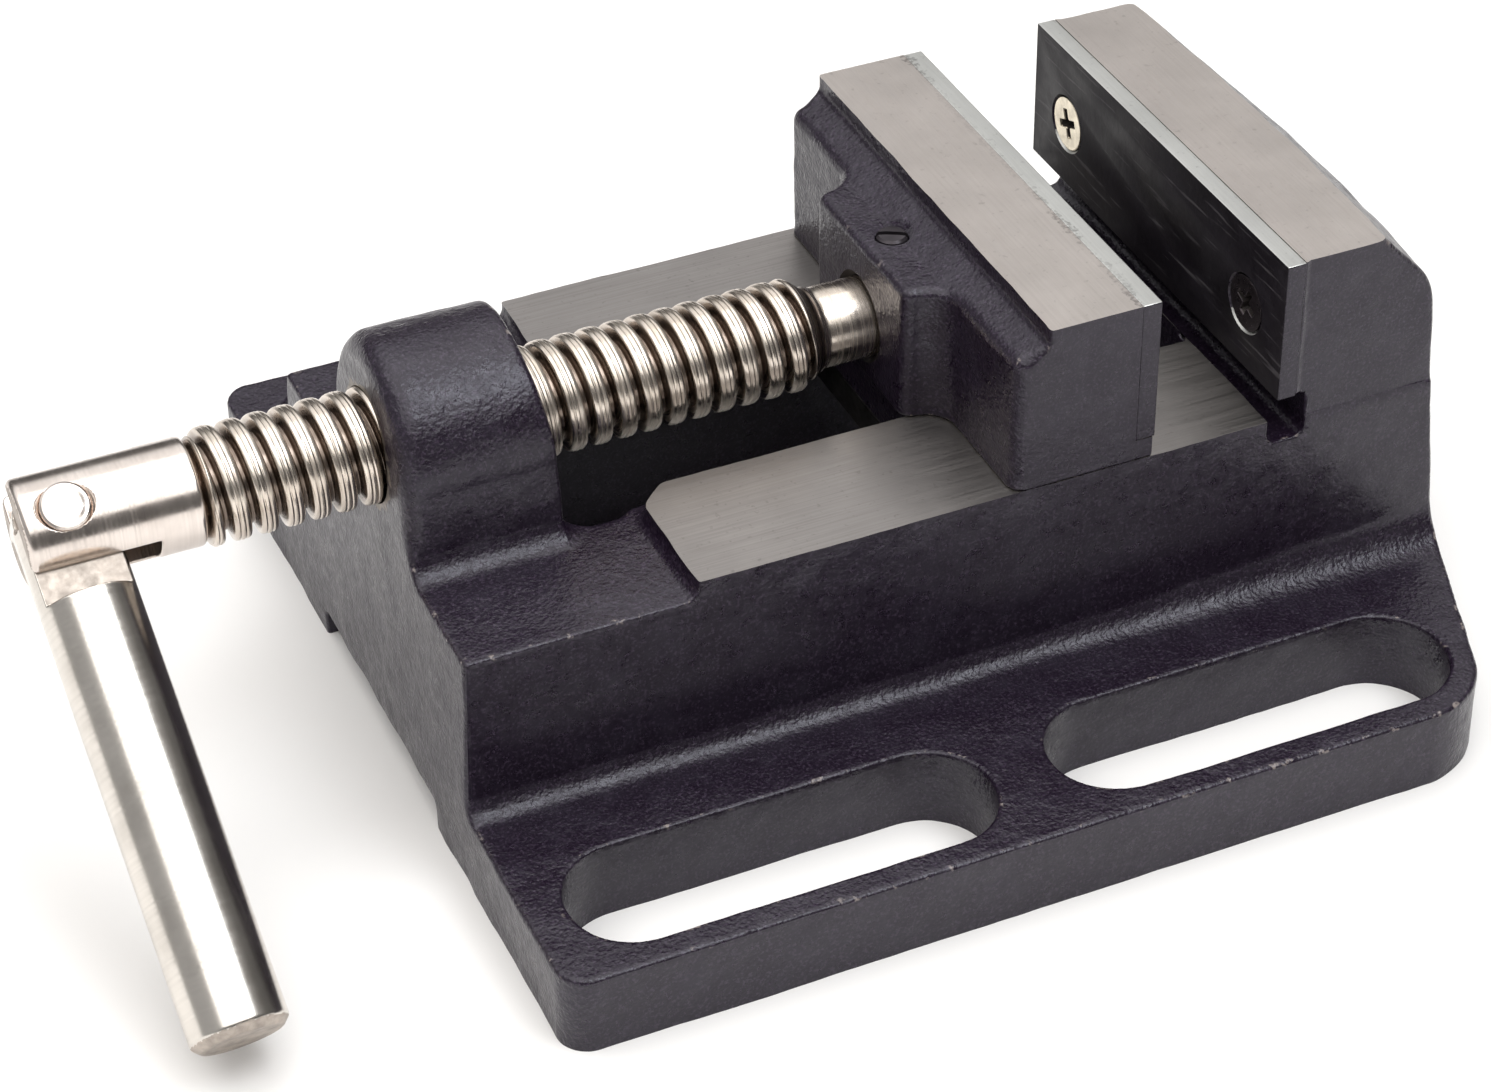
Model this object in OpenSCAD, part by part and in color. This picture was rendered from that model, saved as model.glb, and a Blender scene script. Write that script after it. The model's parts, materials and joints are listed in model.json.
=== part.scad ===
// Drill-press machine vise: cast-iron base with a screw-driven moving jaw.
// Frame: origin at the centre of the four fixing slots, on the bottom face.
// +X runs along the spindle from its head towards the fixed jaw, +Z is up. Millimetres.

/* [Jaws] */
// Width of both jaws and of the bed
jaw_w = 80; // [76:1:84]
// Height of the ground jaw tops above the bottom face
jaw_top = 72; // [70:0.5:76]
// Thickness of the hardened jaw plates
plate_t = 3.2; // [2.5:0.1:4]
// Opening between the plates as drawn
opening = 21; // [8:0.5:40]

/* [Base] */
// Overall width over the two flanges
base_w = 158; // [150:1:170]
// Thickness of the flanges
flange_t = 13.5; // [11:0.5:16]
// Height of the ground bed
bed_top = 44.3; // [43.5:0.1:46]
// Width of the gap between the two bed rails
rail_gap = 30.4; // [28:0.2:32]
// Length of each fixing slot, end to end
slot_l = 66.4; // [56:0.2:68]
// Width of each fixing slot
slot_w = 20.2; // [16:0.2:22]

/* [Spindle] */
// Height of the spindle axis
spindle_z = 53.4; // [53:0.1:55]
// Outer diameter of the trapezoidal thread
thread_d = 17.7; // [16:0.1:18]
// Advance of the thread in one turn
thread_pitch = 4; // [3:0.5:5]
// Diameter of the plain head
head_d = 16.4; // [15:0.1:17]

/* [Handle] */
// Diameter of the handle bar
handle_d = 14.4; // [13:0.1:15]
// Distance from the pivot pin to the end of the bar
handle_reach = 78.4; // [60:0.1:80]
// Angle of the pivot pin about the spindle axis, counted from +Y
pin_angle = 126; // [120:0.5:126]

/* [Hidden] */
$fn = 96;

eps = 0.02;                  // overlap that keeps cuts clean
slide_gap = 0.05;            // running clearance on bed, bores and pins
half_w = jaw_w / 2;
half_base = base_w / 2;
half_gap = rail_gap / 2;

// Stations along X
front = -78;                 // flat end face at the spindle side
slot_x = 38.4;               // fixing slots, either side of the origin
slot_y = 64;
rail_front = front + 37.3;   // where the ground bed starts
fixed_face = front + 132.4;  // face of the fixed plate
moving_face = fixed_face - opening;
channel_end = fixed_face - 1.6;
rear_top = front + 152;      // end of the ground top of the fixed jaw, on the centre line
rear_shoulder = front + 161; // rear wall below the sloping shoulder
rear_foot = front + 167;     // rear wall at the bottom face
rear_bow = 330;              // the rear wall is bowed about an upright axis
flange_rear = front + 163;   // flange end beside the rear wall

// Base details
ledge_z = 41.4;              // black ledge around the boss
rail_under = 33.6;           // underside of the rails
wall_t = 9;                  // walls of the hollow under the bed
front_lean = 1.2;            // lean of the end face up to the ledge
relief_h = 4.5;              // low arch between the feet
relief_w = 50;
boss_r = 16.8;
boss_len = 25;
plate_z = 48;                // lower edge of the jaw plates
groove_depth = 4;            // undercut at the foot of the fixed jaw

// Moving jaw details, measured back from the plate face
jaw_body = plate_t;          // front of the casting
lip_back = 0.2;              // lip under the plate
jaw_step = 18.3;             // back edge of the ground top
jaw_back = 23.6;             // back wall
hub_back = 30;               // end of the spindle hub
hub_half = 16;
hub_root = 21;               // hub half width where it joins the back wall
shelf_z = jaw_top - 2.6;     // black shelf behind the ground top
back_z = jaw_top - 4.8;      // upper edge of the back wall
hub_x = moving_face - hub_back;
keeper_t = 6;
keeper_w = 50;
guide_front = moving_face - 27;
guide_rear = moving_face - jaw_body;
keeper_bolt_x = (guide_front + guide_rear) / 2;
keeper_bolt_y = 8.5;
keeper_bottom = rail_under - slide_gap - keeper_t;

// Spindle stations
head_end = front - 50.7;
thread_start = front - 24.8;
thread_end = front + 73;
shank_r = 6.35;
nose_end = hub_x + 18;
neck_x = hub_x + 5.6;        // groove that the set screw runs in
neck_r = 4.6;
pin_x = head_end + 6.6;
pin_r = 2.9;
clevis_w = 7.0;              // slot in the head
clevis_depth = 18.9;
tongue_t = 6.6;
tongue_len = 12.0;           // from the pin to the shoulder of the bar
handle_tilt = 1.7;           // lean of the bar towards the base

// Fasteners
screw_r = 2.5;
screw_head_r = 5;
screw_y = 0.36 * jaw_w;
screw_z = 59;
bolt_r = 3;
bolt_flats = 10;
washer_t = 1.6;

// Turns a profile drawn as X-Z into a solid centred on Y
module along_y(width) { rotate([90, 0, 0]) translate([0, 0, -width / 2]) linear_extrude(width) children(); }
// Turns a profile drawn as Y-Z into a solid that starts at x and runs along +X
module along_x(x, length) { translate([x, 0, 0]) rotate([90, 0, 90]) linear_extrude(length) children(); }
// Round rod along X about the spindle axis
module on_axis(x, length, r) { translate([x, 0, spindle_z]) rotate([0, 90, 0]) cylinder(h = length, r = r); }
// Local frame at the pivot pin: z along the pin, x along the spindle, y towards the bar
module at_pin() { translate([pin_x, 0, spindle_z]) rotate([pin_angle + 90, 0, 0]) children(); }
// Points of an arc
function arc(cx, cy, r, a0, a1, n) = [for (i = [0:n]) let (a = a0 + (a1 - a0) * i / n) [cx + r * cos(a), cy + r * sin(a)]];

// Plan of half the flanged foot, from the centre line to the near side
corner_r = 5;
rear_r = 9;
module half_foot() {
  polygon(concat([[front, 0]],
                 arc(front + corner_r, half_base - corner_r, corner_r, 180, 90, 6),
                 arc(front + 143, half_base - rear_r, rear_r, 90, 20, 6),
                 [[flange_rear, half_w + 3], [flange_rear, 0]]));
}

module fixing_slot() {
  run = slot_l - slot_w;
  for (end = [-1, 1]) translate([end * run / 2, 0, -1]) cylinder(h = flange_t + 2, d = slot_w);
  translate([-run / 2, -slot_w / 2, -1]) cube([run, slot_w, flange_t + 2]);
}

// Side view of the pedestal, the ledge, the bed and the fixed jaw, with a square rear end
module pedestal_profile() {
  polygon([[front, 0], [front, flange_t], [front + front_lean, ledge_z], [rail_front - 0.6, ledge_z],
           [rail_front, bed_top], [fixed_face - 3, bed_top], [fixed_face - 1, bed_top - groove_depth],
           [fixed_face + plate_t, bed_top - groove_depth], [fixed_face + plate_t, jaw_top],
           [rear_foot + 1, jaw_top], [rear_foot + 1, 0]]);
}

// Round body that gives the rear wall its bow, its draft and its sloping shoulder
module rear_form() {
  axis_x = rear_top - rear_bow;
  translate([axis_x, 0, 0]) rotate_extrude($fn = 720)
    polygon([[0, 0], [rear_foot - axis_x, 0], [rear_shoulder - axis_x, jaw_top - 10],
             [rear_shoulder - 2 - axis_x, jaw_top - 7], [rear_bow, jaw_top], [0, jaw_top]]);
}

// End view of the spindle boss: a round top on slightly flared sides
module boss_profile() {
  translate([0, spindle_z]) circle(r = boss_r);
  polygon([[-boss_r - 1.7, rail_under], [-boss_r - 1.7, ledge_z], [-boss_r, spindle_z],
           [boss_r, spindle_z], [boss_r + 1.7, ledge_z], [boss_r + 1.7, rail_under]]);
}

module base_casting() {
  color("#3a363c") difference() {
    union() {
      for (side = [0, 1]) mirror([0, side, 0]) linear_extrude(flange_t) half_foot();
      intersection() {
        along_y(jaw_w) pedestal_profile();
        rear_form();
      }
      along_x(front + front_lean, boss_len - front_lean) boss_profile();
    }
    for (x = [-slot_x, slot_x], y = [-slot_y, slot_y]) translate([x, y, 0]) fixing_slot();
    // hollow under the bed and the gap between the rails
    translate([front + wall_t, -half_w + wall_t, -1])
      cube([rear_shoulder - wall_t - front - wall_t, jaw_w - 2 * wall_t, rail_under + 1]);
    translate([front + boss_len, -half_gap, rail_under - 1])
      cube([channel_end - front - boss_len, rail_gap, jaw_top]);
    // relief between the feet
    translate([front - 1, -relief_w / 2, -1]) cube([rear_foot - front + 2, relief_w, relief_h + 1]);
    // undercut behind the lower edge of the plate
    translate([fixed_face + plate_t - eps, -half_w - 1, bed_top - groove_depth]) cube([2, jaw_w + 2, plate_z - bed_top + groove_depth]);
    on_axis(front - 1, boss_len + 2, thread_d / 2 + slide_gap);
    for (side = [-1, 1]) translate([fixed_face, side * screw_y, screw_z]) rotate([0, 90, 0])
      cylinder(h = 16, r = screw_r + slide_gap);
  }
}

// Plate with two countersunk holes; its clamping face is at x, and it lies on the side that dir points to
module jaw_plate(x, dir) {
  color("#c9c8c4") difference() {
    translate([min(x, x + dir * plate_t), -half_w, plate_z]) cube([plate_t, jaw_w, jaw_top - plate_z]);
    for (side = [-1, 1]) translate([x, side * screw_y, screw_z]) rotate([0, dir * 90, 0]) {
      translate([0, 0, -eps]) cylinder(h = plate_t, r1 = screw_head_r + eps, r2 = screw_r + 0.3);
      cylinder(h = plate_t + 1, r = screw_r + 0.3);
    }
  }
}

module plate_screw(x, dir, side) {
  color("#cfc6a8") translate([x, side * screw_y, screw_z]) rotate([0, dir * 90, 0]) difference() {
    union() {
      translate([0, 0, 0.15]) cylinder(h = 2.6, r1 = screw_head_r - 0.2, r2 = screw_r);
      cylinder(h = 14, r = screw_r);
    }
    for (turn = [0, 90]) rotate([0, 0, turn]) translate([-2.4, -0.55, -1]) cube([4.8, 1.1, 2.6]);
  }
}

// Side view of the moving jaw's upper part
module jaw_profile() {
  polygon([[moving_face - lip_back, bed_top + slide_gap], [moving_face - lip_back, plate_z - slide_gap],
           [moving_face - jaw_body, plate_z - slide_gap], [moving_face - jaw_body, jaw_top],
           [moving_face - jaw_step, jaw_top], [moving_face - jaw_step - 0.4, shelf_z],
           [moving_face - jaw_back + 1.5, back_z + 0.6], [moving_face - jaw_back, back_z - 0.9],
           [moving_face - jaw_back, bed_top + slide_gap]]);
}

module moving_jaw() {
  color("#3a363c") difference() {
    union() {
      along_y(jaw_w) jaw_profile();
      translate([0, 0, bed_top + slide_gap]) linear_extrude(back_z - bed_top - 0.5)
        polygon([[hub_x, -hub_half + 2], [hub_x + 2, -hub_half], [hub_x + 5, -hub_half - 1],
                 [moving_face - jaw_back + 1, -hub_root], [moving_face - jaw_back + 1, hub_root],
                 [hub_x + 5, hub_half + 1], [hub_x + 2, hub_half], [hub_x, hub_half - 2]]);
      // guide block between the rails
      translate([guide_front, -half_gap + slide_gap, rail_under - slide_gap])
        cube([guide_rear - guide_front, rail_gap - 2 * slide_gap, bed_top - rail_under + 1]);
    }
    on_axis(hub_x - 1, nose_end - hub_x + 1.1, shank_r + slide_gap);
    translate([neck_x, 0, spindle_z]) cylinder(h = jaw_top, r = screw_r + slide_gap);
    for (side = [-1, 1]) translate([moving_face, side * screw_y, screw_z]) rotate([0, -90, 0])
      cylinder(h = 16, r = screw_r + slide_gap);
    for (side = [-1, 1]) translate([keeper_bolt_x, side * keeper_bolt_y, 0])
      cylinder(h = bed_top - 1, r = bolt_r + slide_gap);
  }
}

// Slotted grub screw with a dog point that holds the spindle in the hub
module spindle_set_screw() {
  top = back_z + 0.4;
  tip = spindle_z + neck_r + 0.3;
  color("#2c2a2e") translate([neck_x, 0, 0]) difference() {
    union() {
      translate([0, 0, tip]) cylinder(h = top - tip, r = 1.5);
      translate([0, 0, spindle_z + shank_r + 0.6]) cylinder(h = top - spindle_z - shank_r - 0.6, r = screw_r);
    }
    translate([-0.5, -4, top - 1.4]) cube([1, 8, 3]);
  }
}

// Flat plate that hooks the moving jaw under the rails
module keeper_plate() {
  color("#8b8986") difference() {
    translate([guide_front, -keeper_w / 2, keeper_bottom])
      cube([guide_rear - guide_front, keeper_w, keeper_t - slide_gap]);
    for (side = [-1, 1]) translate([keeper_bolt_x, side * keeper_bolt_y, 0]) cylinder(h = bed_top, r = bolt_r + 0.2);
  }
}

module keeper_bolt(side) {
  head_h = 4;
  head_top = keeper_bottom - washer_t;
  color("#b9b7b0") translate([keeper_bolt_x, side * keeper_bolt_y, 0]) {
    translate([0, 0, head_top - head_h]) cylinder(h = head_h, d = bolt_flats / cos(30), $fn = 6);
    translate([0, 0, head_top - eps]) cylinder(h = 17, r = bolt_r);
  }
}

// Split ring under the bolt head
module spring_washer(side) {
  color("#a9a7a0") translate([keeper_bolt_x, side * keeper_bolt_y, keeper_bottom - washer_t]) difference() {
    cylinder(h = washer_t, r = 5.4);
    translate([0, 0, -1]) cylinder(h = washer_t + 2, r = bolt_r + 0.2);
    rotate([0, 0, 40]) translate([0, -0.4, -1]) cube([8, 0.8, washer_t + 2]);
  }
}

// Half section of the threaded rod: one crest to each pitch between the head and the shank
thread_depth = 2.1;
crest = 1.15;
flank = 0.7;
function thread_crests() = [for (x = [thread_start + 2.2 : thread_pitch : thread_end - 1.5])
  each [[x - crest / 2 - flank, thread_d / 2 - thread_depth], [x - crest / 2, thread_d / 2],
        [x + crest / 2, thread_d / 2], [x + crest / 2 + flank, thread_d / 2 - thread_depth]]];

module spindle_section() {
  root_r = thread_d / 2 - thread_depth;
  polygon(concat([[head_end, 0], [head_end, head_d / 2 - 1], [head_end + 1, head_d / 2],
                  [thread_start - 1, head_d / 2], [thread_start, head_d / 2 - 1], [thread_start, root_r]],
                 thread_crests(),
                 [[thread_end, root_r], [thread_end + 0.6, shank_r], [neck_x - 1.9, shank_r],
                  [neck_x - 1.9, neck_r], [neck_x + 1.9, neck_r], [neck_x + 1.9, shank_r],
                  [nose_end - 1, shank_r], [nose_end, shank_r - 1], [nose_end, 0]]));
}

module spindle() {
  color("#c8bfa9") difference() {
    translate([0, 0, spindle_z]) rotate([0, 90, 0]) rotate([0, 0, 90])
      rotate_extrude() rotate([0, 0, 90]) mirror([0, 1]) spindle_section();
    at_pin() {
      translate([head_end - pin_x - 1, -head_d, -clevis_w / 2]) cube([clevis_depth + 1, 2 * head_d, clevis_w]);
      translate([0, 0, -head_d]) cylinder(h = 2 * head_d, r = pin_r + slide_gap);
      for (side = [-1, 1]) translate([0, 0, side * (head_d / 2 - 0.6)]) mirror([0, 0, side < 0 ? 1 : 0])
        cylinder(h = 1.2, r1 = pin_r, r2 = pin_r + 1.2);
    }
  }
}

module handle_pin() {
  reach = head_d / 2;
  color("#d8d4cc") at_pin() {
    translate([0, 0, -reach]) cylinder(h = 2 * reach, r = pin_r);
    for (side = [0, 1]) mirror([0, 0, side]) translate([0, 0, reach - 0.1]) cylinder(h = 0.5, r1 = pin_r, r2 = pin_r - 0.8);
  }
}

// Round bar, flattened at one end into a tongue that turns in the head
module handle_bar() {
  r = handle_d / 2;
  edge = 1.2;
  color("#cfccc6") at_pin() rotate([0, 0, -handle_tilt]) difference() {
    union() {
      cylinder(h = tongue_t, r = r, center = true);
      intersection() {
        rotate([-90, 0, 0]) cylinder(h = tongue_len + 1, r = r);
        translate([-r, 0, -tongue_t / 2]) cube([2 * r, tongue_len + 1, tongue_t]);
      }
      translate([0, tongue_len, 0]) rotate([-90, 0, 0]) cylinder(h = handle_reach - tongue_len - edge, r = r);
      translate([0, handle_reach - edge, 0]) rotate([-90, 0, 0]) cylinder(h = edge, r1 = r, r2 = r - edge);
    }
    cylinder(h = 2 * handle_d, r = pin_r + slide_gap, center = true);
  }
}

base_casting();
jaw_plate(fixed_face, 1);  // fixed_jaw_plate
plate_screw(fixed_face, 1, -1);  // fixed_plate_screw_near
plate_screw(fixed_face, 1, 1);  // fixed_plate_screw_far
moving_jaw();
jaw_plate(moving_face, -1);  // moving_jaw_plate
plate_screw(moving_face, -1, -1);  // moving_plate_screw_near
plate_screw(moving_face, -1, 1);  // moving_plate_screw_far
spindle_set_screw();
keeper_plate();
keeper_bolt(-1);  // keeper_bolt_near
keeper_bolt(1);  // keeper_bolt_far
spring_washer(-1);  // spring_washer_near
spring_washer(1);  // spring_washer_far
spindle();
handle_pin();
handle_bar();
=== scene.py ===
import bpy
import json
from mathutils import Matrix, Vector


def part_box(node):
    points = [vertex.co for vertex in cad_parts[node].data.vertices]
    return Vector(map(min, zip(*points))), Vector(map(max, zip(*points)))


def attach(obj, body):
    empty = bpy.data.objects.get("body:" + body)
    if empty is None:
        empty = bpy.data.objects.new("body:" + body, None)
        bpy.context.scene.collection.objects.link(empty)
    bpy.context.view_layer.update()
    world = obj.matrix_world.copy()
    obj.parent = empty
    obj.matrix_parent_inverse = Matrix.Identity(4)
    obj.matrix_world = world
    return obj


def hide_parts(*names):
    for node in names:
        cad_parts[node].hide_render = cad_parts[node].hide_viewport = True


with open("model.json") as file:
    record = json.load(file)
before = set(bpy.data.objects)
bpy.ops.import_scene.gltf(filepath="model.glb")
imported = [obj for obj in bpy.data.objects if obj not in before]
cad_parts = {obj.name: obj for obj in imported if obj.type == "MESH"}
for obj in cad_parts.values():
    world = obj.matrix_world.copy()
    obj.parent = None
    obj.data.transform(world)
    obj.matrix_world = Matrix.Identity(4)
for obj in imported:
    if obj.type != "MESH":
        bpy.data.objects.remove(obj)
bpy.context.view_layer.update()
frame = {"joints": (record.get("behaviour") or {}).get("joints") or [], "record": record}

# Looks of the drill-press machine vise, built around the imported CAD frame. The castings are shaped as
# distance fields, in which cast edges and fillets get their radii, and are then cut by flat cutters where
# the real parts are ground. Shapes are worked out in millimetres in the model's own axes, and meshes are
# made in metres.
import json
import math

import bpy
import numpy as np
from mathutils import Matrix, Vector

MM = 0.001
SPARE = 1.6             # stock left on a cast face that is ground afterwards


def in_mm(node):
    """Lowest and highest corner of a CAD node, in millimetres."""
    return tuple([v / MM for v in corner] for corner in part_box(node))


def joint(name):
    return next(j for j in frame["joints"] if j["name"] == name)


# ------------ sizes from the frame
BASE_LOW, BASE_HIGH = in_mm("base_casting")
FIXED_PLATE_LOW, FIXED_PLATE_HIGH = in_mm("fixed_jaw_plate")
MOVING_PLATE_LOW, MOVING_PLATE_HIGH = in_mm("moving_jaw_plate")
JAW_LOW, JAW_HIGH = in_mm("moving_jaw")
SPINDLE_LOW, SPINDLE_HIGH = in_mm("spindle")
KEEPER_LOW, KEEPER_HIGH = in_mm("keeper_plate")
SLOTS = next(m for m in frame["record"]["mounts"] if m["name"] == "base_slots")["dims"]
PIN = joint("handle_fold")
AXIS_Z = joint("spindle_turn")["pos_m"][2] / MM
PIN_AT = Vector(PIN["pos_m"]) / MM
PIN_AXIS = Vector(PIN["axis"])
BAR_WAY = Vector((0, PIN_AXIS.z, -PIN_AXIS.y))   # from the pin to the free end of the bar, before its lean

FRONT = BASE_LOW[0]
HALF_BASE = BASE_HIGH[1]
HALF_JAW = FIXED_PLATE_HIGH[1]
JAW_TOP = FIXED_PLATE_HIGH[2]
PLATE_Z = FIXED_PLATE_LOW[2]
FIXED_FACE = FIXED_PLATE_LOW[0]
FIXED_SEAT = FIXED_PLATE_HIGH[0]
MOVING_FACE = MOVING_PLATE_HIGH[0]
MOVING_SEAT = MOVING_PLATE_LOW[0]
SLOT_X, SLOT_Y = SLOTS["spacing_x_mm"] / 2, SLOTS["spacing_y_mm"] / 2
SLOT_R = SLOTS["hole_r_mm"]
SLOT_RUN = SLOTS["slot_length_mm"] / 2 - SLOT_R
BED_TOP = 44.3
HALF_GAP = 15.2
SCREW_Y, SCREW_Z, SCREW_HEAD_R = 28.8, 59.0, 5.0
TAP_R, TAP_DEPTH = 2.6, 12              # threaded holes behind the plates


# ------------ distance fields
def join(a, b, r):
    """Union with a concave fillet of radius r."""
    return np.maximum(r, np.minimum(a, b)) - np.hypot(np.maximum(r - a, 0), np.maximum(r - b, 0))


def meet(a, b, r):
    """Intersection with an edge rounded to radius r."""
    return np.minimum(-r, np.maximum(a, b)) + np.hypot(np.maximum(r + a, 0), np.maximum(r + b, 0))


def cut(a, b, r):
    """a without b, with the rim rounded to radius r."""
    return meet(a, -b, r)


def rectangle(u, v, half_u, half_v, r=0.0):
    """Distance to a rectangle about the origin with corners of radius r."""
    u, v = np.abs(u) - half_u + r, np.abs(v) - half_v + r
    return np.minimum(np.maximum(u, v), 0) + np.hypot(np.maximum(u, 0), np.maximum(v, 0)) - r


def ease(t):
    """0 below 0, 1 above 1, and smooth between."""
    t = np.clip(t, 0, 1)
    return t * t * (3 - 2 * t)


def ripple(x, y, z, size, seed, count=12):
    """Gentle random waves of about the given size, between roughly -1 and 1."""
    rng = np.random.default_rng(seed)
    total = 0
    for _ in range(count):
        way = rng.normal(size=3)
        way *= 2 * math.pi / (size * rng.uniform(0.7, 1.6) * np.linalg.norm(way))
        total = total + np.sin(x * way[0] + y * way[1] + z * way[2] + rng.uniform(0, 2 * math.pi))
    return total / math.sqrt(count)


def slopes(field, points, reach):
    """Gradient of a field at points."""
    found = np.empty_like(points)
    for axis in range(3):
        step = np.zeros(3)
        step[axis] = reach
        found[:, axis] = (field(*(points + step).T) - field(*(points - step).T)) / (2 * reach)
    return found


def surface(field, low, high, step, rough=None):
    """Points and quads of the closed surface where a field is zero, with one point to each crossed cell.
    The points then settle on the rough field, which differs from the field by less than a cell."""
    axes = [np.arange(a - SPARE - 2 * step, b + SPARE + 2 * step, step) for a, b in zip(low, high)]
    x, y, z = np.meshgrid(*axes, indexing="ij", sparse=True)
    values = np.broadcast_to(field(x, y, z), [len(a) for a in axes]).astype(np.float32)
    inside = values < 0
    size = np.array(values.shape) - 1
    corners = [(i, j, k) for i in (0, 1) for j in (0, 1) for k in (0, 1)]
    count = sum(inside[tuple(slice(c, n + c) for c, n in zip(at, size))].astype(np.int8) for at in corners)
    crossed = (count > 0) & (count < 8)
    cells = np.argwhere(crossed)
    number = np.full(crossed.shape, -1, np.int32)
    number[crossed] = np.arange(len(cells))
    total, hits = np.zeros((len(cells), 3)), np.zeros((len(cells), 1))
    for axis in range(3):
        along = np.eye(3, dtype=int)[axis]
        for at in [c for c in corners if c[axis] == 0]:
            start = cells + at
            a, b = values[tuple(start.T)], values[tuple((start + along).T)]
            found = (a < 0) != (b < 0)
            t = a[found] / (a[found] - b[found])
            total[found] += start[found] + t[:, None] * along
            hits[found] += 1
    points = total / hits * step + [a[0] for a in axes]
    quads = []
    for axis in range(3):
        b, c = (axis + 1) % 3, (axis + 2) % 3
        first = [slice(1, n) for n in size]
        second = list(first)
        first[axis], second[axis] = slice(0, size[axis]), slice(1, size[axis] + 1)
        here, there = inside[tuple(first)], inside[tuple(second)]
        for outward, order in ((here & ~there, 1), (there & ~here, -1)):
            at = np.argwhere(outward)
            at += [0 if k == axis else 1 for k in range(3)]
            ring = []
            for db, dc in ((0, 0), (1, 0), (1, 1), (0, 1)):
                near = at.copy()
                near[:, b] -= db
                near[:, c] -= dc
                ring.append(number[tuple(near.T)])
            quads.append(np.stack(ring[::order], axis=1))
    rough = rough or field
    for _ in range(4):
        slope = slopes(rough, points, 0.1 * step)
        pull = rough(*points.T)[:, None] * slope / np.maximum((slope ** 2).sum(1, keepdims=True), 0.05)
        points -= np.clip(pull, -0.5 * step, 0.5 * step)
    return points, np.concatenate(quads)


# ------------ meshes
def add_object(name, data):
    made = bpy.data.objects.new(name, data)
    bpy.context.scene.collection.objects.link(made)
    return made


def new_object(name, points, faces):
    """Object with a mesh from points in millimetres."""
    mesh = bpy.data.meshes.new(name)
    mesh.from_pydata(np.asarray(points) * MM, [], faces if isinstance(faces, list) else faces.tolist())
    return add_object(name, mesh)


def freeze(piece):
    """Applies the piece's modifiers to its mesh."""
    bpy.context.view_layer.update()
    mesh = bpy.data.meshes.new_from_object(piece.evaluated_get(bpy.context.evaluated_depsgraph_get()))
    piece.modifiers.clear()
    piece.data = mesh
    mesh.name = piece.name


def thin(piece, faces):
    """Merges triangles where the surface is flat, down to about that many."""
    modifier = piece.modifiers.new("thin", "DECIMATE")
    modifier.ratio = min(1, faces / (2 * len(piece.data.polygons)))
    freeze(piece)


def shaped(name, field, low, high, step, faces, rough=None):
    """Object whose surface is where a field is zero, thinned to about a number of triangles."""
    made = new_object(name, *surface(field, low, high, step, rough))
    thin(made, faces)
    return made


def combine(piece, other, operation="DIFFERENCE"):
    """Cuts the other object away from the piece, or adds it, and removes the other."""
    modifier = piece.modifiers.new("combine", "BOOLEAN")
    modifier.solver, modifier.operation, modifier.object = "MANIFOLD", operation, other
    freeze(piece)
    bpy.data.objects.remove(other)


def block(low, high, name="cutter"):
    """Plain box."""
    points = [(x, y, z) for x in (low[0], high[0]) for y in (low[1], high[1]) for z in (low[2], high[2])]
    faces = [[0, 1, 3, 2], [4, 6, 7, 5], [0, 4, 5, 1], [2, 3, 7, 6], [0, 2, 6, 4], [1, 5, 7, 3]]
    return new_object(name, points, faces)


def tube_faces(rings, around):
    """Faces between rings of points, and one across each end."""
    starts = [i * around for i in range(rings)]
    faces = [[a + j, a + (j + 1) % around, b + (j + 1) % around, b + j]
             for a, b in zip(starts, starts[1:]) for j in range(around)]
    return faces + [list(range(around))[::-1], [starts[-1] + j for j in range(around)]]


def turned(name, profile, segments=96, place=Matrix.Identity(4)):
    """Solid of revolution about Z from (radius, height) points, with flat ends."""
    angles = np.arange(segments) * 2 * math.pi / segments
    points = [place @ Vector((r * math.cos(a), r * math.sin(a), h)) for r, h in profile for a in angles]
    return new_object(name, points, tube_faces(len(profile), segments))


def facing(point, way):
    """Placement that turns local Z to +X, or to -X where way is -1, and starts at a point."""
    return Matrix.Translation(point) @ Matrix.Rotation(way * math.pi / 2, 4, "Y")


def along_x(x, y=0.0, z=AXIS_Z):
    return facing((x, y, z), 1)


def at_pin(lean=0.0):
    """Placement at the pivot pin: Z along it, X along the spindle, Y towards the free end of the bar."""
    way = (Vector((math.sin(lean), 0, 0)) + math.cos(lean) * BAR_WAY).normalized()
    side = way.cross(PIN_AXIS)
    frame_axes = Matrix((side, way, PIN_AXIS)).transposed().to_4x4()
    return Matrix.Translation(PIN_AT) @ frame_axes


def points_of(mesh):
    """Points of a mesh, in metres."""
    points = np.empty(len(mesh.vertices) * 3, np.float32)
    mesh.vertices.foreach_get("co", points)
    return points.reshape(-1, 3)


def faces_of(mesh):
    """Centres in millimetres and normals of a mesh's faces."""
    centres, normals = (np.empty(len(mesh.polygons) * 3, np.float32) for _ in range(2))
    mesh.polygons.foreach_get("center", centres)
    mesh.polygons.foreach_get("normal", normals)
    return centres.reshape(-1, 3) / MM, normals.reshape(-1, 3)


def on_plane(mesh, axis, place, way):
    """Which faces lie in the plane and look along +axis or -axis."""
    centres, normals = faces_of(mesh)
    return (np.abs(centres[:, axis] - place) < 0.01) & (normals[:, axis] * way > 0.99)


def paint(piece, materials, slots=None):
    """Gives the piece its materials, and each face the number of its own."""
    piece.data.materials.clear()
    for material in materials:
        piece.data.materials.append(material)
    if slots is not None:
        piece.data.polygons.foreach_set("material_index", np.asarray(slots, np.int32))


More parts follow.
